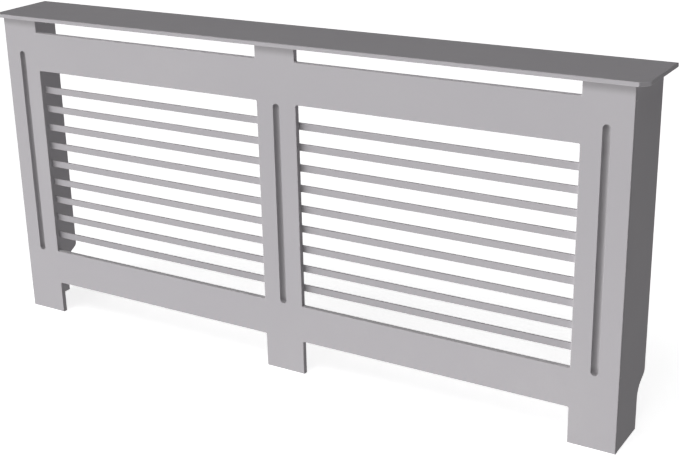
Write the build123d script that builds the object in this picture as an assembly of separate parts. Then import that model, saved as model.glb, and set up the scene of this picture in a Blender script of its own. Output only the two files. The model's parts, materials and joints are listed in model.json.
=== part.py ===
from build123d import *
import math
import os

# Radiator cover cabinet in painted MDF, millimetres.
# Frame: +Z up, front faces -Y, wall at +Y, +X to the right seen from the front.
# Origin: middle of the overall box, on the floor.

# ---------------------------------------------------------------- driving dimensions
TOTAL_W = 1720.0          # over the shelf
TOTAL_D = 190.0           # over the shelf
TOTAL_H = 815.0           # floor to the top of the shelf
FRONT_T = 12.0            # front panel
SIDE_T = 15.0             # side panels
SHELF_T = 10.0
SHELF_SIDE_OVER = 25.0    # shelf past each side panel
SHELF_FRONT_OVER = 8.0    # shelf past the front panel
SHELF_REAR_OVER = 11.0    # shelf past the rear edge of the sides
SHELF_CORNER = 18.0       # 45 degree cut at the two front corners
SHELF_ARRIS = 2.0         # rounded edges of the shelf

BODY_W = TOTAL_W - 2 * SHELF_SIDE_OVER                       # 1670
BODY_D = TOTAL_D - SHELF_FRONT_OVER - SHELF_REAR_OVER        # 171
BODY_H = TOTAL_H - SHELF_T                                   # 805

STILE_W = 109.0           # outer stiles
CENTRE_W = 107.0          # centre stile
FOOT_H = 86.0             # floor to the underside of the bottom rail
BOTTOM_RAIL_TOP = 179.0
TOP_RAIL_BOTTOM = 675.0
TOP_RAIL_TOP = 774.0
CUTTER_R = 3.0            # radius in the inner corners of the routed openings
ARRIS = 1.5               # rounded edges of the front panel and the sides

FLUTE_R = 9.0             # round-nosed flutes on the stiles
FLUTE_DEPTH = 8.5
OUTER_FLUTE = (173.0, 722.0)
CENTRE_FLUTE = (177.0, 673.0)

SLAT_N = 9
SLAT_H = 17.0
SLAT_T = 5.0
SLAT_TOP_Z = 623.0        # centre height of the top slat
SLAT_PITCH = 50.0
SLAT_OVERLAP = 30.0       # slat behind each outer stile
SLAT_ARRIS = 1.0

NOTCH_Y = 128.0           # depth of the foot of a side panel, from the front face
NOTCH_TOP_Z = 130.0       # where the skirting cut-out meets the rear edge
NOTCH_SLOPE = 30.0        # degrees below the horizontal, between the two curves
NOTCH_R_OUT = 13.0
NOTCH_R_IN = 38.0

DOWEL_D = 6.0
DOWEL_L = 30.0
DOWEL_IN_FRONT = 8.0      # how far a dowel reaches into the front panel and into the shelf
DOWEL_IN_SHELF = 6.0
CAM_D = 15.0
CAM_T = 12.0
CAM_BACK = 34.0           # joint face to the middle of the cam
BOLT_HOLE_D = 8.0
BOLT_THREAD_D = 5.0
BOLT_THREAD_L = 7.5
FIT = 0.1                 # clearance all round a dowel, cam or screw

BRACKET_T = 2.0
WALL_LEG = 40.0
WALL_BRACKET_W = 40.0
WALL_HOLE_D = 5.5
WALL_BRACKET_X = 415.0    # from the middle of the cabinet
CENTRE_LEG = 28.0
CENTRE_BRACKET_W = 44.0
SCREW_D = 3.5
SCREW_L = 8.0
SCREW_HEAD_D = 7.0
SCREW_HEAD_T = 2.4
SLAT_SCREW_D = 3.0
SLAT_SCREW_L = 12.0
SLAT_SCREW_HEAD_D = 5.6
SLAT_SCREW_HEAD_T = 2.0

# ---------------------------------------------------------------- working frame
# Built with x from the left edge of the front panel, y from its front face into the depth, z from the floor,
# then moved to the frame above.
TO_FRAME = Location((-BODY_W / 2, SHELF_FRONT_OVER - TOTAL_D / 2, 0))


def block(x0, x1, y0, y1, z0, z1):
    return Pos((x0 + x1) / 2, (y0 + y1) / 2, (z0 + z1) / 2) * Box(x1 - x0, y1 - y0, z1 - z0)


def rod(p, d, radius, length):
    """A cylinder that starts at p and runs along d."""
    return Plane(origin=p, z_dir=d) * Cylinder(radius, length, align=(Align.CENTER, Align.CENTER, Align.MIN))


def routed(x0, x1, z0, z1):
    """The space a router clears through the front board, with the cutter's radius in its corners."""
    b = block(x0, x1, -5, FRONT_T + 5, z0, z1)
    return fillet(b.edges().filter_by(Axis.Y), CUTTER_R)


def pan_screw(p, d, dia, length, head_d, head_t):
    """A pan-head screw: p is under the head, d points from the head to the tip."""
    v = Vector(*d)
    head = Plane(origin=p, z_dir=(-v.X, -v.Y, -v.Z)) * Cylinder(
        head_d / 2, head_t, align=(Align.CENTER, Align.CENTER, Align.MIN))
    rim = head.edges().filter_by(GeomType.CIRCLE).sort_by(lambda e: (e.center() - Vector(*p)).length)[-1]
    head = fillet(rim, head_t * 0.45)
    top = Plane(origin=Vector(*p) - v * head_t, z_dir=d)
    cross = top * (Box(head_d * 0.62, head_d * 0.17, head_t * 1.1) + Box(head_d * 0.17, head_d * 0.62, head_t * 1.1))
    head = head - cross
    tip = length * 0.16
    shank = rod(p, d, dia / 2, length - tip)
    point = Plane(origin=Vector(*p) + v * (length - tip), z_dir=d) * Cone(
        dia / 2, dia * 0.12, tip, align=(Align.CENTER, Align.CENTER, Align.MIN))
    return head + shank + point


def screw_hole(p, d, dia, length):
    v = Vector(*d)
    return rod(Vector(*p) - v * 2, d, dia / 2, length + 2.5)


# ---------------------------------------------------------------- positions
X_L, X_R = 0.0, BODY_W
X_MID = BODY_W / 2
OPEN_L = (STILE_W, X_MID - CENTRE_W / 2)
OPEN_R = (X_MID + CENTRE_W / 2, BODY_W - STILE_W)

slat_z = [SLAT_TOP_Z - SLAT_PITCH * i for i in range(SLAT_N)]
slat_x = (STILE_W - SLAT_OVERLAP, BODY_W - STILE_W + SLAT_OVERLAP)
slat_screw_x = [slat_x[0] + 14, X_MID - 30, X_MID + 30, slat_x[1] - 14]

side_cam_z = [140.0, 430.0, 720.0]        # side to front panel
side_dowel_z = [172.0, 688.0]
top_cam_y = [62.0, 140.0]                 # side to shelf
top_dowel_x = [40.0, X_MID - 22, X_MID + 22, BODY_W - 40.0]

# ---------------------------------------------------------------- front panel
front = block(X_L, X_R, 0, FRONT_T, 0, BODY_H)
for x0, x1 in (OPEN_L, OPEN_R):
    front -= routed(x0, x1, BOTTOM_RAIL_TOP, TOP_RAIL_BOTTOM)
    front -= routed(x0, x1, TOP_RAIL_TOP, BODY_H + 30)
    front -= routed(x0, x1, -30, FOOT_H)
# all edges of the front face are eased but the ones that meet the shelf
face_edges = [e for e in front.edges() if abs(e.bounding_box().min.Y) < 1e-4 and abs(e.bounding_box().max.Y) < 1e-4
              and e.bounding_box().min.Z < BODY_H - 0.01]
front = fillet(face_edges, ARRIS)
for cx, (z0, z1) in ((STILE_W / 2, OUTER_FLUTE), (X_MID, CENTRE_FLUTE), (BODY_W - STILE_W / 2, OUTER_FLUTE)):
    cy = FLUTE_DEPTH - FLUTE_R
    run_in = math.sqrt(FLUTE_R ** 2 - cy ** 2)
    a, b = z0 + run_in, z1 - run_in
    front -= rod((cx, cy, a), (0, 0, 1), FLUTE_R, b - a)
    front -= Pos(cx, cy, a) * Sphere(FLUTE_R)
    front -= Pos(cx, cy, b) * Sphere(FLUTE_R)
# bores in its back for the side joints
for x in (SIDE_T / 2, BODY_W - SIDE_T / 2):
    for z in side_cam_z:
        front -= rod((x, FRONT_T + 1, z), (0, -1, 0), BOLT_THREAD_D / 2 + FIT, BOLT_THREAD_L + 1)
    for z in side_dowel_z:
        front -= rod((x, FRONT_T + 1, z), (0, -1, 0), DOWEL_D / 2 + FIT, DOWEL_IN_FRONT + 1)
# bores in its top edge for the shelf dowels
for x in top_dowel_x:
    front -= rod((x, FRONT_T / 2, BODY_H + 1), (0, 0, -1), DOWEL_D / 2 + FIT, DOWEL_L - DOWEL_IN_SHELF + 1)
# pilot holes for the slats and the centre bracket
for z in slat_z:
    for x in slat_screw_x:
        front -= rod((x, FRONT_T + 1, z), (0, -1, 0), SLAT_SCREW_D / 2 + FIT, SLAT_SCREW_L - SLAT_T + 2.5)
centre_screw_x = [X_MID - 13, X_MID + 13]
centre_screw_z = BODY_H - CENTRE_LEG * 0.62
for x in centre_screw_x:
    front -= rod((x, FRONT_T + 1, centre_screw_z), (0, -1, 0), SCREW_D / 2 + FIT, SCREW_L - BRACKET_T + 2)

# ---------------------------------------------------------------- shelf
sx0, sx1 = -SHELF_SIDE_OVER, BODY_W + SHELF_SIDE_OVER
sy0, sy1 = -SHELF_FRONT_OVER, BODY_D + SHELF_REAR_OVER
plan = Polyline((sx0 + SHELF_CORNER, sy0), (sx1 - SHELF_CORNER, sy0), (sx1, sy0 + SHELF_CORNER), (sx1, sy1),
                (sx0, sy1), (sx0, sy0 + SHELF_CORNER), close=True)
shelf = Pos(0, 0, BODY_H) * extrude(make_face(plan), SHELF_T)
rims = [e for e in shelf.edges() if abs(e.bounding_box().max.Z - e.bounding_box().min.Z) < 1e-3]
shelf = fillet(rims, SHELF_ARRIS)
for x in (SIDE_T / 2, BODY_W - SIDE_T / 2):
    for y in top_cam_y:
        shelf -= rod((x, y, BODY_H - 1), (0, 0, 1), BOLT_THREAD_D / 2 + FIT, BOLT_THREAD_L + 1)
for x in top_dowel_x:
    shelf -= rod((x, FRONT_T / 2, BODY_H - 1), (0, 0, 1), DOWEL_D / 2 + FIT, DOWEL_IN_SHELF + 1)
wall_x = [X_MID - WALL_BRACKET_X, X_MID + WALL_BRACKET_X]
wall_screw = [(dx, sy1 - dy) for dx, dy in ((-11, 26), (11, 26))]
for bx in wall_x:
    for dx, y in wall_screw:
        shelf -= rod((bx + dx, y, BODY_H - 1), (0, 0, 1), SCREW_D / 2 + FIT, SCREW_L - BRACKET_T + 2)
centre_screw_y = FRONT_T + CENTRE_LEG * 0.62
for x in centre_screw_x:
    shelf -= rod((x, centre_screw_y, BODY_H - 1), (0, 0, 1), SCREW_D / 2 + FIT, SCREW_L - BRACKET_T + 2)


# ---------------------------------------------------------------- side panels
def side_outline():
    """Outline in y, z: front edge, bottom of the foot, skirting cut-out, rear edge, top."""
    s = math.radians(NOTCH_SLOPE)
    turn = math.pi / 2 - s
    # convex curve from the rear edge
    p0 = (BODY_D, NOTCH_TOP_Z)
    c0 = (BODY_D - NOTCH_R_OUT, NOTCH_TOP_Z)
    m0 = (c0[0] + NOTCH_R_OUT * math.cos(turn / 2), c0[1] - NOTCH_R_OUT * math.sin(turn / 2))
    p1 = (c0[0] + NOTCH_R_OUT * math.cos(turn), c0[1] - NOTCH_R_OUT * math.sin(turn))
    # straight slope, then the concave curve down to the foot
    p2y = NOTCH_Y + NOTCH_R_IN * (1 - math.sin(s))
    run = (p1[0] - p2y) / math.cos(s)
    p2 = (p2y, p1[1] - run * math.sin(s))
    c1 = (p2[0] + NOTCH_R_IN * math.sin(s), p2[1] - NOTCH_R_IN * math.cos(s))
    a2 = math.atan2(p2[1] - c1[1], p2[0] - c1[0])
    am = (a2 + math.pi) / 2
    m1 = (c1[0] + NOTCH_R_IN * math.cos(am), c1[1] + NOTCH_R_IN * math.sin(am))
    p3 = (NOTCH_Y, c1[1])
    return p0, m0, p1, p2, m1, p3


def side(x0):
    p0, m0, p1, p2, m1, p3 = side_outline()
    edges = [
        Line((FRONT_T, 0), (NOTCH_Y, 0)),
        Line((NOTCH_Y, 0), p3),
        ThreePointArc(p3, m1, p2),
        Line(p2, p1),
        ThreePointArc(p1, m0, p0),
        Line(p0, (BODY_D, BODY_H)),
        Line((BODY_D, BODY_H), (FRONT_T, BODY_H)),
        Line((FRONT_T, BODY_H), (FRONT_T, 0)),
    ]
    face = make_face(Curve() + edges)
    # local x of the sketch is y, local y is z, the normal is +X
    return Plane(origin=(x0, 0, 0), x_dir=(0, 1, 0), z_dir=(1, 0, 0)) * extrude(face, SIDE_T)


def ease_side(body, x_face):
    """Rounds the arris of one face along the rear edge, the cut-out and the foot."""
    picked = []
    for e in body.edges():
        b = e.bounding_box()
        if abs(b.min.X - x_face) < 1e-4 and abs(b.max.X - x_face) < 1e-4:
            at_top = b.min.Z > BODY_H - 0.01
            at_front = b.max.Y < FRONT_T + 0.01
            if not at_top and not at_front:
                picked.append(e)
    return fillet(picked, ARRIS)


def bore_side(body, x_in, inward):
    """Cam, bolt and dowel bores. x_in is the inner face, inward points from the board into the cabinet."""
    xm = x_in - inward * SIDE_T / 2
    for z in side_cam_z:
        body -= rod((x_in + inward, FRONT_T + CAM_BACK, z), (-inward, 0, 0), CAM_D / 2, CAM_T + 1)
        body -= rod((xm, FRONT_T - 1, z), (0, 1, 0), BOLT_HOLE_D / 2, CAM_BACK + 1)
    for z in side_dowel_z:
        body -= rod((xm, FRONT_T - 1, z), (0, 1, 0), DOWEL_D / 2 + FIT, DOWEL_L - DOWEL_IN_FRONT + 1)
    for y in top_cam_y:
        body -= rod((x_in + inward, y, BODY_H - CAM_BACK), (-inward, 0, 0), CAM_D / 2, CAM_T + 1)
        body -= rod((xm, y, BODY_H + 1), (0, 0, -1), BOLT_HOLE_D / 2, CAM_BACK + 1)
    return body


side_l = bore_side(ease_side(side(0.0), 0.0), SIDE_T, 1)
side_r = bore_side(ease_side(side(BODY_W - SIDE_T), BODY_W), BODY_W - SIDE_T, -1)

# ---------------------------------------------------------------- slats
slats = []
for z in slat_z:
    s = block(slat_x[0], slat_x[1], FRONT_T, FRONT_T + SLAT_T, z - SLAT_H / 2, z + SLAT_H / 2)
    s = fillet(s.edges().filter_by(Axis.X), SLAT_ARRIS)
    for x in slat_screw_x:
        s -= rod((x, FRONT_T - 1, z), (0, 1, 0), SLAT_SCREW_D / 2 + FIT, SLAT_T + 2)
    slats.append(s)

one_slat_screw = pan_screw((0, 0, 0), (0, -1, 0), SLAT_SCREW_D, SLAT_SCREW_L, SLAT_SCREW_HEAD_D, SLAT_SCREW_HEAD_T)
slat_screws = [Pos(x, FRONT_T + SLAT_T, z) * one_slat_screw for z in slat_z for x in slat_screw_x]


# ---------------------------------------------------------------- cam fittings and dowels
def cam_bolt():
    """Along +Z: the thread sits in z < 0, the head at the far end lies in the cam."""
    b = rod((0, 0, -BOLT_THREAD_L), (0, 0, 1), BOLT_THREAD_D / 2, BOLT_THREAD_L)
    b += rod((0, 0, 0), (0, 0, 1), 3.7, 3.0)
    b += rod((0, 0, 3), (0, 0, 1), 2.5, 22.0)
    b += rod((0, 0, 25), (0, 0, 1), 1.8, 3.5)
    b += rod((0, 0, 28.5), (0, 0, 1), 3.3, 3.0)
    return b


def cam_lock():
    """Axis along Z, open face at z = 0, body in z < 0; the bolt comes in along +Y from y < 0."""
    c = rod((0, 0, 0), (0, 0, -1), CAM_D / 2 - FIT, CAM_T)
    c -= rod((0, -CAM_D, -SIDE_T / 2), (0, 1, 0), BOLT_HOLE_D / 2, CAM_D - 1.5)
    c -= Pos(0, 0, -0.6) * (Box(8.0, 1.6, 3.2) + Box(1.6, 8.0, 3.2))
    return c


cam_bolts, cam_locks, dowels = [], [], []
bolt, cam = cam_bolt(), cam_lock()
for x_in, inward in ((SIDE_T, 1), (BODY_W - SIDE_T, -1)):
    xm = x_in - inward * SIDE_T / 2
    for z in side_cam_z:
        cam_bolts.append(Plane(origin=(xm, FRONT_T, z), z_dir=(0, 1, 0)) * bolt)
        # x of the cam's plane chosen so that its y runs along +Y
        cam_locks.append(Plane(origin=(x_in, FRONT_T + CAM_BACK, z), x_dir=(0, 0, -inward), z_dir=(inward, 0, 0)) * cam)
    for z in side_dowel_z:
        dowels.append(rod((xm, FRONT_T - DOWEL_IN_FRONT, z), (0, 1, 0), DOWEL_D / 2, DOWEL_L))
    for y in top_cam_y:
        cam_bolts.append(Plane(origin=(xm, y, BODY_H), z_dir=(0, 0, -1)) * bolt)
        cam_locks.append(Plane(origin=(x_in, y, BODY_H - CAM_BACK), x_dir=(0, -inward, 0), z_dir=(inward, 0, 0)) * cam)
for x in top_dowel_x:
    dowels.append(rod((x, FRONT_T / 2, BODY_H + DOWEL_IN_SHELF), (0, 0, -1), DOWEL_D / 2, DOWEL_L))
dowels = [chamfer(d.edges().filter_by(GeomType.CIRCLE), 0.8) for d in dowels]


# ---------------------------------------------------------------- brackets
def angle(width, leg_up, leg_out, t):
    """Angle section along X: one leg on the z = 0 plane below it, going +Y; the other down the y = 0 plane."""
    prof = Polyline((0, 0), (leg_out, 0), (leg_out, -t), (t, -t), (t, -leg_up), (0, -leg_up), close=True)
    body = Plane(origin=(-width / 2, 0, 0), x_dir=(0, 1, 0), z_dir=(1, 0, 0)) * extrude(make_face(prof), width)
    inner = [e for e in body.edges().filter_by(Axis.X) if abs(e.center().Y - t) < 1e-4 and abs(e.center().Z + t) < 1e-4]
    outer = [e for e in body.edges().filter_by(Axis.X) if abs(e.center().Y) < 1e-4 and abs(e.center().Z) < 1e-4]
    body = fillet(inner, 1.0)
    outer = [e for e in body.edges().filter_by(Axis.X) if abs(e.center().Y) < 1e-4 and abs(e.center().Z) < 1e-4]
    body = fillet(outer, t * 0.9)
    ends = [e for e in body.edges().filter_by(Axis.Z) if e.center().Y > leg_out - 0.01]
    ends += [e for e in body.edges().filter_by(Axis.Y) if e.center().Z < -leg_up + 0.01]
    return fillet(ends, 4.0)


centre_bracket = Pos(X_MID, FRONT_T, BODY_H) * angle(CENTRE_BRACKET_W, CENTRE_LEG, CENTRE_LEG, BRACKET_T)
for x in centre_screw_x:
    centre_bracket -= screw_hole((x, FRONT_T, centre_screw_z), (0, 1, 0), SCREW_D + 2 * FIT + 0.4, BRACKET_T + 2)
    centre_bracket -= screw_hole((x, centre_screw_y, BODY_H), (0, 0, -1), SCREW_D + 2 * FIT + 0.4, BRACKET_T + 2)

wall_brackets = []
for bx in wall_x:
    # the upright leg lies in the plane of the shelf's rear edge, the other under the shelf
    b = Plane(origin=(bx, sy1, BODY_H), x_dir=(-1, 0, 0), z_dir=(0, 0, 1)) * angle(
        WALL_BRACKET_W, WALL_LEG, WALL_LEG, BRACKET_T)
    for dx, y in wall_screw:
        b -= screw_hole((bx + dx, y, BODY_H), (0, 0, -1), SCREW_D + 2 * FIT + 0.4, BRACKET_T + 2)
    b -= rod((bx, sy1 + 3, BODY_H - WALL_LEG * 0.6), (0, -1, 0), WALL_HOLE_D / 2, 8)
    wall_brackets.append(b)

bracket_screws = []
for x in centre_screw_x:
    bracket_screws.append(pan_screw((x, FRONT_T + BRACKET_T, centre_screw_z), (0, -1, 0), SCREW_D, SCREW_L,
                                    SCREW_HEAD_D, SCREW_HEAD_T))
    bracket_screws.append(pan_screw((x, centre_screw_y, BODY_H - BRACKET_T), (0, 0, 1), SCREW_D, SCREW_L,
                                    SCREW_HEAD_D, SCREW_HEAD_T))
for bx in wall_x:
    for dx, y in wall_screw:
        bracket_screws.append(pan_screw((bx + dx, y, BODY_H - BRACKET_T), (0, 0, 1), SCREW_D, SCREW_L,
                                        SCREW_HEAD_D, SCREW_HEAD_T))

# ---------------------------------------------------------------- output
nodes = {
    "front_panel": front,
    "top_shelf": shelf,
    "side_panel_left": side_l,
    "side_panel_right": side_r,
    "slat_screws": slat_screws,
    "cam_bolts": cam_bolts,
    "cam_locks": cam_locks,
    "wooden_dowels": dowels,
    "centre_bracket": centre_bracket,
    "wall_bracket_left": wall_brackets[0],
    "wall_bracket_right": wall_brackets[1],
    "bracket_screws": bracket_screws,
}
for i, s in enumerate(slats, 1):
    nodes["slat_%d" % i] = s

os.makedirs("parts", exist_ok=True)
for name, shape in nodes.items():
    pieces = shape if isinstance(shape, list) else [shape]
    solids = [TO_FRAME * q for p in pieces for q in p.solids()]
    export_step(solids[0] if len(solids) == 1 else Compound(children=solids), "parts/%s.step" % name)
    print(name, len(solids))
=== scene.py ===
import json
import math

import bpy
from mathutils import Matrix, Vector

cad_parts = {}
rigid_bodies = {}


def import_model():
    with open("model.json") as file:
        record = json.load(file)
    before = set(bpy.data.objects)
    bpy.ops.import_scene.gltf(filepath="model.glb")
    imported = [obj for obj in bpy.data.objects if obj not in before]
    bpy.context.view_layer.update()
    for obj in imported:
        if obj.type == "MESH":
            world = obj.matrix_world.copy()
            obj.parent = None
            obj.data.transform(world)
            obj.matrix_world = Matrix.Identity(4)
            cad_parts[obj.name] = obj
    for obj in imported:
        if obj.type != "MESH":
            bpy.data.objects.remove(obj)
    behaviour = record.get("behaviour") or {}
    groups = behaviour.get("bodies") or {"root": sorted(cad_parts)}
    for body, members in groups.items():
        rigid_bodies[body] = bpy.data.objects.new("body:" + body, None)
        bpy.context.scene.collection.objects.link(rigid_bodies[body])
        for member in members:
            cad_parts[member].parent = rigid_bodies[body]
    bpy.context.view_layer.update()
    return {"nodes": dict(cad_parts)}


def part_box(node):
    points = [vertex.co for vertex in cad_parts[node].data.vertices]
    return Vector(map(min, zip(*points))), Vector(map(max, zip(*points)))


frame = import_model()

# Radiator cover cabinet in painted MDF. Metres, +Z up, the front faces -Y.
# Key planes of the cabinet, the same as in the solid model.
HALF_BODY = 0.835
Y_FRONT, Y_BACK = -0.087, -0.075        # faces of the front panel
FOOT_TOP = 0.086
RAIL_LO = (0.179, 0.675)                # opening, bottom and top
SLOT = (0.774, 0.805)                   # air slot under the shelf
OPEN_X = (0.0535, 0.726)                # opening, from the centre stile to the outer stile
FLUTE_X, FLUTE_HALF = 0.7805, 0.009     # middle of the outer flutes, and half the width of a flute
FLUTE_Z = ((0.173, 0.722), (0.177, 0.673))
UNDER_SHELF = 0.805
LEDGES = (0.179, 0.774)

# Studio light: a weak even fill, and soft lobes given by azimuth (degrees from -Y towards -X), elevation, power
# (a high power is a narrow lobe) and strength. The key rakes across the front from the left.
FILL = 0.03
LOBES = (
    (55.0, -25.0, 30.0, 4.90), (70.0, -25.0, 30.0, 2.95), (70.0, 5.0, 30.0, 4.80),      # key, from the left
    (50.0, -10.0, 8.0, 1.90), (30.0, -35.0, 8.0, 1.30),                                 # its soft surround
    (5.0, 58.0, 24.0, 4.50),                                                            # overhead
    (-90.0, -25.0, 8.0, 1.30), (150.0, -25.0, 8.0, 2.40),                               # window side and back
)
FLOOR_GLOW = 0.77

scene = bpy.context.scene
for o in list(bpy.data.objects):
    if o.type in ("CAMERA", "LIGHT"):
        bpy.data.objects.remove(o)


# ---------------------------------------------------------------- small node-tree helper
class Tree:
    def __init__(self, name):
        self.mat = bpy.data.materials.new(name)
        self.mat.use_nodes = True
        self.t = self.mat.node_tree
        self.t.nodes.clear()
        self.out = self.t.nodes.new("ShaderNodeOutputMaterial")
        self.co = self.t.nodes.new("ShaderNodeTexCoord").outputs["Object"]

    def node(self, kind, **props):
        n = self.t.nodes.new(kind)
        for k, v in props.items():
            setattr(n, k, v)
        return n

    def put(self, socket, value):
        if isinstance(value, bpy.types.NodeSocket):
            self.t.links.new(value, socket)
        else:
            socket.default_value = value

    def math(self, op, a, b=0.0, c=0.0, clamp=False):
        n = self.node("ShaderNodeMath", operation=op, use_clamp=clamp)
        for s, v in zip(n.inputs, (a, b, c)):
            self.put(s, v)
        return n.outputs[0]

    def xyz(self, v=None):
        n = self.node("ShaderNodeSeparateXYZ")
        self.put(n.inputs[0], v or self.co)
        return n.outputs

    def scaled(self, s, off=(0, 0, 0)):
        n = self.node("ShaderNodeMapping")
        self.put(n.inputs["Vector"], self.co)
        n.inputs["Scale"].default_value = s
        n.inputs["Location"].default_value = off
        return n.outputs[0]

    def noise(self, scale, detail=2.0, rough=0.5, v=None, distortion=0.0):
        n = self.node("ShaderNodeTexNoise")
        self.put(n.inputs["Vector"], v or self.co)
        n.inputs["Scale"].default_value = scale
        n.inputs["Detail"].default_value = detail
        n.inputs["Roughness"].default_value = rough
        n.inputs["Distortion"].default_value = distortion
        return n.outputs["Fac"]

    def remap(self, x, a, b, lo=0.0, hi=1.0, smooth=False):
        n = self.node("ShaderNodeMapRange")
        n.interpolation_type = "SMOOTHSTEP" if smooth else "LINEAR"
        n.clamp = True
        self.put(n.inputs["Value"], x)
        n.inputs["From Min"].default_value = a
        n.inputs["From Max"].default_value = b
        n.inputs["To Min"].default_value = lo
        n.inputs["To Max"].default_value = hi
        return n.outputs["Result"]

    def mix(self, fac, a, b, kind="MIX"):
        n = self.node("ShaderNodeMix", data_type="RGBA", blend_type=kind)
        self.put(n.inputs[0], fac)
        self.put(n.inputs[6], a)
        self.put(n.inputs[7], b)
        return n.outputs[2]

    def bump(self, height, strength, distance, normal=None):
        n = self.node("ShaderNodeBump")
        n.inputs["Strength"].default_value = strength
        n.inputs["Distance"].default_value = distance
        self.put(n.inputs["Height"], height)
        if normal is not None:
            self.put(n.inputs["Normal"], normal)
        return n.outputs[0]

    def principled(self, **sockets):
        n = self.node("ShaderNodeBsdfPrincipled")
        for k, v in sockets.items():
            self.put(n.inputs[k.replace("_", " ")], v)
        self.t.links.new(n.outputs[0], self.out.inputs["Surface"])
        return n


# ---------------------------------------------------------------- edge distances, from the planes of each board
def rect_outline(t, x, z, cx, cz, hx, hz):
    """Distance in the xz plane to the outline of a rectangle, taken as the size of its signed box distance."""
    dx = t.math("SUBTRACT", t.math("ABSOLUTE", t.math("SUBTRACT", x, cx)), hx)
    dz = t.math("SUBTRACT", t.math("ABSOLUTE", t.math("SUBTRACT", z, cz)), hz)
    outside = t.math("SQRT", t.math("ADD",
                                    t.math("POWER", t.math("MAXIMUM", dx, 0.0), 2.0),
                                    t.math("POWER", t.math("MAXIMUM", dz, 0.0), 2.0)))
    inside = t.math("MINIMUM", t.math("MAXIMUM", dx, dz), 0.0)
    return t.math("ABSOLUTE", t.math("ADD", outside, inside))


def front_edges(t):
    """(distance to the nearest arris, distance to the outline in the panel's plane) on the front panel."""
    x, y, z = t.xyz()
    ax = t.math("ABSOLUTE", x)
    cx, hx = (OPEN_X[0] + OPEN_X[1]) / 2, (OPEN_X[1] - OPEN_X[0]) / 2
    d = rect_outline(t, ax, z, cx, (RAIL_LO[0] + RAIL_LO[1]) / 2, hx, (RAIL_LO[1] - RAIL_LO[0]) / 2)
    d = t.math("MINIMUM", d, rect_outline(t, ax, z, cx, SLOT[0] + 0.05, hx, 0.05))
    d = t.math("MINIMUM", d, rect_outline(t, ax, z, cx, FOOT_TOP - 0.10, hx, 0.10))
    d = t.math("MINIMUM", d, t.math("ABSOLUTE", t.math("SUBTRACT", ax, HALF_BODY)))
    d = t.math("MINIMUM", d, t.math("ABSOLUTE", z))
    dy = t.math("MINIMUM", t.math("ABSOLUTE", t.math("SUBTRACT", y, Y_FRONT)),
                t.math("ABSOLUTE", t.math("SUBTRACT", y, Y_BACK)))
    near = t.math("SQRT", t.math("ADD", t.math("POWER", d, 2.0), t.math("POWER", dy, 2.0)))
    return near, d


def box_edges(t, lo, hi):
    """Distance to the nearest edge of a box: the second smallest of the three distances to its faces."""
    d = []
    for s, a, b in zip(t.xyz(), lo, hi):
        d.append(t.math("MINIMUM", t.math("ABSOLUTE", t.math("SUBTRACT", s, a)),
                        t.math("ABSOLUTE", t.math("SUBTRACT", s, b))))
    small = t.math("MINIMUM", t.math("MINIMUM", d[0], d[1]), d[2])
    large = t.math("MAXIMUM", t.math("MAXIMUM", d[0], d[1]), d[2])
    total = t.math("ADD", t.math("ADD", d[0], d[1]), d[2])
    mid = t.math("SUBTRACT", t.math("SUBTRACT", total, small), large)
    return t.math("SQRT", t.math("ADD", t.math("POWER", small, 2.0), t.math("POWER", mid, 2.0)))


# ---------------------------------------------------------------- materials
PAINT = (0.474, 0.459, 0.478)


def shade(c, k, tint=(1, 1, 1)):
    return (c[0] * k * tint[0], c[1] * k * tint[1], c[2] * k * tint[2], 1.0)


def board_cut(t, axis, lo, hi):
    """1 on the faces between the two planes of a board, 0 on the planes themselves."""
    s = t.xyz()[axis]
    return t.math("MULTIPLY", t.remap(s, lo + 0.0009, lo + 0.0018, 0.0, 1.0, True),
                  t.remap(s, hi - 0.0018, hi - 0.0009, 1.0, 0.0, True))


def painted_shade_front(t):
    """Painted shade on the front panel: darker in the depth of the flutes, more at their rounded ends, and in the
    corner under the shelf.
    """
    x, y, z = t.xyz()
    ax = t.math("ABSOLUTE", x)
    dx = t.math("MINIMUM", ax, t.math("ABSOLUTE", t.math("SUBTRACT", ax, FLUTE_X)))
    flute = t.math("MULTIPLY", t.remap(dx, FLUTE_HALF, FLUTE_HALF + 0.0006, 1.0, 0.0),
                   t.remap(y, Y_FRONT + 0.0005, Y_FRONT + 0.0055, 0.0, 0.52, True))
    flute = t.math("MULTIPLY", flute, t.remap(y, Y_FRONT + 0.0090, Y_FRONT + 0.0100, 1.0, 0.0))
    flute = t.math("MULTIPLY", flute, t.remap(z, 0.15, 0.16, 0.0, 1.0))
    for lo_, hi_ in FLUTE_Z:                     # more painted shade in the rounded ends
        ends = t.math("MINIMUM", t.math("ABSOLUTE", t.math("SUBTRACT", z, lo_)), t.math("ABSOLUTE", t.math("SUBTRACT", z, hi_)))
        ends = t.remap(ends, 0.008, 0.020, 1.0, 0.0, True)
        flute = t.math("MULTIPLY", flute, t.math("MULTIPLY_ADD", ends, 0.35, 1.0))
    corner = t.math("MULTIPLY", t.remap(z, UNDER_SHELF - 0.024, UNDER_SHELF - 0.006, 0.0, 0.74, True),
                    t.remap(y, Y_FRONT + 0.0004, Y_FRONT + 0.0012, 1.0, 0.0))
    patchy = t.remap(t.noise(60.0, 3, 0.6), 0.3, 0.7, 0.85, 1.0)
    return t.math("MULTIPLY", t.math("MAXIMUM", flute, corner), patchy)


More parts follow.
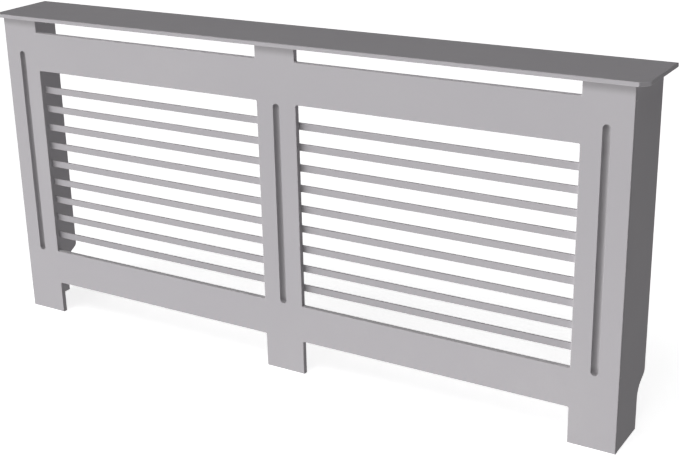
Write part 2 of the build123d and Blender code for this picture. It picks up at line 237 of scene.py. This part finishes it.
def painted_light_ledges(t):
    """Painted light: a paler tone on the narrow ledges at the bottom of the openings and of the air slots, lifting
    their shade.
    """
    x, y, z = t.xyz()
    ax = t.math("ABSOLUTE", x)
    dx = t.math("MINIMUM", ax, t.math("ABSOLUTE", t.math("SUBTRACT", ax, FLUTE_X)))
    near = t.math("MINIMUM", t.math("ABSOLUTE", t.math("SUBTRACT", z, LEDGES[0])),
                  t.math("ABSOLUTE", t.math("SUBTRACT", z, LEDGES[1])))
    ledge_light = t.math("MULTIPLY", t.remap(near, 0.0006, 0.0012, 1.0, 0.0), t.remap(dx, FLUTE_HALF + 0.001, FLUTE_HALF + 0.002, 0.0, 1.0))
    return t.math("MULTIPLY", ledge_light, t.remap(t.noise(45.0, 4, 0.65), 0.3, 0.7, 0.50, 0.80))


def painted_board(name, lo, hi, axis, grain=(1, 1, 1), base=PAINT, front=False):
    t = Tree(name)
    edge = front_edges(t)[0] if front else box_edges(t, lo, hi)
    cut = board_cut(t, axis, lo[axis], hi[axis])
    broad = t.noise(2.3, 3, 0.55, t.scaled(grain))
    cloud = t.noise(19.0, 4, 0.6, t.scaled(grain, (3.1, 1.7, 5.2)))
    fine = t.noise(260.0, 3, 0.55)
    peel = t.noise(520.0, 2, 0.45)
    fibre = t.noise(1500.0, 3, 0.6)
    tone = t.mix(t.remap(broad, 0.3, 0.7), shade(base, 0.965, (1.0, 1.0, 1.01)), shade(base, 1.03, (1.0, 0.998, 0.995)))
    tone = t.mix(t.remap(cloud, 0.35, 0.65, 0.0, 0.55), tone, shade(base, 0.985, (1.005, 0.995, 1.005)))
    tone = t.mix(t.remap(fine, 0.56, 0.72, 0.0, 0.30), tone, shade(base, 0.93))
    worn = t.math("MULTIPLY", t.remap(edge, 0.0006, 0.0026, 1.0, 0.0, True),
                  t.remap(t.noise(38.0, 4, 0.65), 0.34, 0.66))
    tone = t.mix(t.math("MULTIPLY", worn, 0.55), tone, shade(base, 1.20, (1.01, 1.0, 0.985)))
    tone = t.mix(t.math("MULTIPLY", cut, t.remap(fibre, 0.35, 0.7, 0.25, 0.9)), tone, shade(base, 0.93))
    if front:
        tone = t.mix(t.remap(t.xyz()[2], 0.15, 0.78, 0.0, 0.28), tone, shade(base, 0.90))      # painted shade: a little greyer towards the top
        # Painted light: the ledges at the bottom of the openings and air slots are lightened.
        tone = t.mix(t.math("MULTIPLY", painted_light_ledges(t), cut), tone, (0.66, 0.65, 0.655, 1.0))
        # Painted shade: the flutes and the corner under the shelf are darkened.
        tone = t.mix(painted_shade_front(t), tone, shade(base, 0.66, (1.0, 0.995, 0.985)))
    rough = t.math("ADD", t.remap(cloud, 0.3, 0.7, 0.56, 0.64), t.remap(peel, 0.3, 0.7, -0.02, 0.03))
    rough = t.math("SUBTRACT", rough, t.math("MULTIPLY", worn, 0.07))
    rough = t.math("ADD", rough, t.math("MULTIPLY", cut, 0.10))
    height = t.math("MULTIPLY_ADD", peel, 0.75, t.math("MULTIPLY", fine, 0.25))
    normal = t.bump(height, 0.22, 0.0006)
    normal = t.bump(t.math("MULTIPLY", fibre, cut), 0.20, 0.0005, normal)
    t.principled(Base_Color=tone, Roughness=rough, Normal=normal, Specular_IOR_Level=0.06)
    return t.mat


def metal(name, colour, rough, brush=(1, 1, 1), tint=(1.0, 0.97, 0.90)):
    """Zinc-plated metal: bright, with a faint warm bloom, fine scratches and dull patches."""
    t = Tree(name)
    patch = t.noise(90.0, 4, 0.6)
    scratch = t.noise(900.0, 3, 0.6, t.scaled(brush))
    tone = t.mix(t.remap(patch, 0.35, 0.7), shade(colour, 1.0), shade(colour, 0.86, tint))
    tone = t.mix(t.remap(scratch, 0.55, 0.75, 0.0, 0.4), tone, shade(colour, 0.75))
    r = t.math("ADD", t.remap(patch, 0.3, 0.7, rough - 0.05, rough + 0.10), t.remap(scratch, 0.3, 0.7, -0.04, 0.06))
    t.principled(Base_Color=tone, Roughness=r, Metallic=1.0, Normal=t.bump(scratch, 0.12, 0.0004))
    return t.mat


def beech(name):
    t = Tree(name)
    pore = t.noise(700.0, 4, 0.6, t.scaled((1.0, 0.12, 0.12)))
    ring = t.noise(160.0, 3, 0.5)
    tone = t.mix(t.remap(ring, 0.35, 0.65), (0.56, 0.38, 0.22, 1), (0.66, 0.48, 0.30, 1))
    tone = t.mix(t.remap(pore, 0.55, 0.7, 0.0, 0.6), tone, (0.36, 0.22, 0.12, 1))
    t.principled(Base_Color=tone, Roughness=t.remap(pore, 0.3, 0.7, 0.55, 0.72), Normal=t.bump(pore, 0.3, 0.0004))
    return t.mat


def dress(node, mat):
    o = frame["nodes"][node]
    o.data.materials.clear()
    o.data.materials.append(mat)


lo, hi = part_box("front_panel")
dress("front_panel", painted_board("paint_front", lo, hi, 1, (1.0, 1.0, 1.0), front=True))
lo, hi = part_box("top_shelf")
dress("top_shelf", painted_board("paint_shelf", lo, hi, 2, (0.6, 1.4, 1.0)))
for side in ("left", "right"):
    lo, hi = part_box("side_panel_" + side)
    dress("side_panel_" + side, painted_board("paint_side_" + side, lo, hi, 0, (1.0, 1.0, 0.7)))
for i in range(1, 10):
    lo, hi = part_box("slat_%d" % i)
    k = {1: 0.93, 8: 0.93, 9: 0.88}.get(i, 0.955)          # painted shade: the slats sit back behind the frame, those next to the top and bottom rails darker still
    tone = tuple(c * k for c in PAINT)
    dress("slat_%d" % i, painted_board("paint_slat_%d" % i, lo, hi, 1, (0.5, 1.0, 1.0), base=tone))
screw = metal("zinc_screw", (0.76, 0.76, 0.74), 0.32)
dress("slat_screws", screw)
dress("bracket_screws", screw)
dress("cam_bolts", metal("bolt_steel", (0.74, 0.74, 0.72), 0.30))
dress("cam_locks", metal("cam_zinc", (0.70, 0.70, 0.71), 0.42))
bracket = metal("bracket_zinc", (0.78, 0.78, 0.76), 0.34, (0.15, 1.0, 1.0))
for n in ("centre_bracket", "wall_bracket_left", "wall_bracket_right"):
    dress(n, bracket)
dress("wooden_dowels", beech("beech"))

# ---------------------------------------------------------------- stage
# A pale floor with soft shadows. It lights nothing: the light from below is part of the studio light, and seen from
# underneath the floor is clear, so that the underside can be looked at.
me = bpy.data.meshes.new("floor")
S = 60.0
me.from_pydata([(-S, -S, 0), (S, -S, 0), (S, S, 0), (-S, S, 0)], [], [(0, 1, 2, 3)])
floor = bpy.data.objects.new("floor", me)
scene.collection.objects.link(floor)
t = Tree("floor_pale")
tone = t.mix(t.remap(t.noise(1.1, 3, 0.5), 0.3, 0.7), (0.86, 0.86, 0.86, 1), (0.885, 0.885, 0.885, 1))
lit = t.principled(Base_Color=tone, Roughness=0.8, Specular_IOR_Level=0.0,
                   Emission_Color=(1, 1, 1, 1), Emission_Strength=FLOOR_GLOW)
clear = t.node("ShaderNodeBsdfTransparent")
mixed = t.node("ShaderNodeMixShader")
t.put(mixed.inputs[0], t.node("ShaderNodeNewGeometry").outputs["Backfacing"])
t.t.links.new(lit.outputs[0], mixed.inputs[1])
t.t.links.new(clear.outputs[0], mixed.inputs[2])
t.t.links.new(mixed.outputs[0], t.out.inputs["Surface"])
floor.data.materials.append(t.mat)
floor.visible_diffuse = floor.visible_glossy = floor.visible_transmission = floor.visible_shadow = False

# ---------------------------------------------------------------- light
# One soft studio light from the front left, from the window side and back from a pale floor, with a weak fill all round.
world = bpy.data.worlds.new("studio")
scene.world = world
world.use_nodes = True
wt = world.node_tree
wt.nodes.clear()


def wn(kind, **props):
    n = wt.nodes.new(kind)
    for k, v in props.items():
        setattr(n, k, v)
    return n


def wmath(op, a, b=0.0, c=0.0):
    n = wn("ShaderNodeMath", operation=op)
    for s_, v in zip(n.inputs, (a, b, c)):
        if isinstance(v, bpy.types.NodeSocket):
            wt.links.new(v, s_)
        else:
            s_.default_value = v
    return n.outputs[0]


def lobe(direction, power, strength):
    n = wn("ShaderNodeVectorMath", operation="DOT_PRODUCT")
    wt.links.new(sky, n.inputs[0])
    n.inputs[1].default_value = Vector(direction).normalized()
    return wmath("MULTIPLY", wmath("POWER", wmath("MAXIMUM", n.outputs["Value"], 0.0), power), strength)


def towards(azimuth, elevation):
    """Azimuth from -Y towards -X, in degrees."""
    a_, e_ = math.radians(azimuth), math.radians(elevation)
    return (-math.sin(a_) * math.cos(e_), -math.cos(a_) * math.cos(e_), math.sin(e_))


sky = wn("ShaderNodeTexCoord").outputs["Generated"]
total = FILL
for az, el, power, strength in LOBES:
    total = wmath("ADD", lobe(towards(az, el), power, strength), total)
light = wn("ShaderNodeBackground")
light.inputs["Color"].default_value = (1, 1, 1, 1)
wt.links.new(total, light.inputs["Strength"])
pale = wn("ShaderNodeBackground")
pale.inputs["Color"].default_value = (1, 1, 1, 1)
pale.inputs["Strength"].default_value = 1.0
seen = wn("ShaderNodeLightPath").outputs["Is Camera Ray"]
both = wn("ShaderNodeMixShader")
wt.links.new(seen, both.inputs[0])
wt.links.new(light.outputs[0], both.inputs[1])
wt.links.new(pale.outputs[0], both.inputs[2])
wt.links.new(both.outputs[0], wn("ShaderNodeOutputWorld").inputs["Surface"])

# ---------------------------------------------------------------- camera
# right, up and back of the view, found from the straight edges in the photograph
right = Vector((0.844754, 0.534289, -0.030423))
up = Vector((-0.156918, 0.301648, 0.940418))
back = right.cross(up)
cam_data = bpy.data.cameras.new("camera")
cam = bpy.data.objects.new("camera", cam_data)
scene.collection.objects.link(cam)
m = Matrix.Identity(4)
for i in range(3):
    m[i][0], m[i][1], m[i][2] = right[i], up[i], back[i]
m.translation = (1.601562, -2.459751, 1.431353)
cam.matrix_world = m
cam_data.sensor_fit = "HORIZONTAL"
cam_data.sensor_width = 36.0
cam_data.lens = 68.5
cam_data.shift_x = 0.0545
cam_data.shift_y = -0.0191
cam_data.clip_start, cam_data.clip_end = 0.05, 60.0
scene.camera = cam

scene.view_settings.view_transform = "Standard"
scene.view_settings.look = "None"
scene.view_settings.exposure = 0.0
scene.view_settings.gamma = 1.0
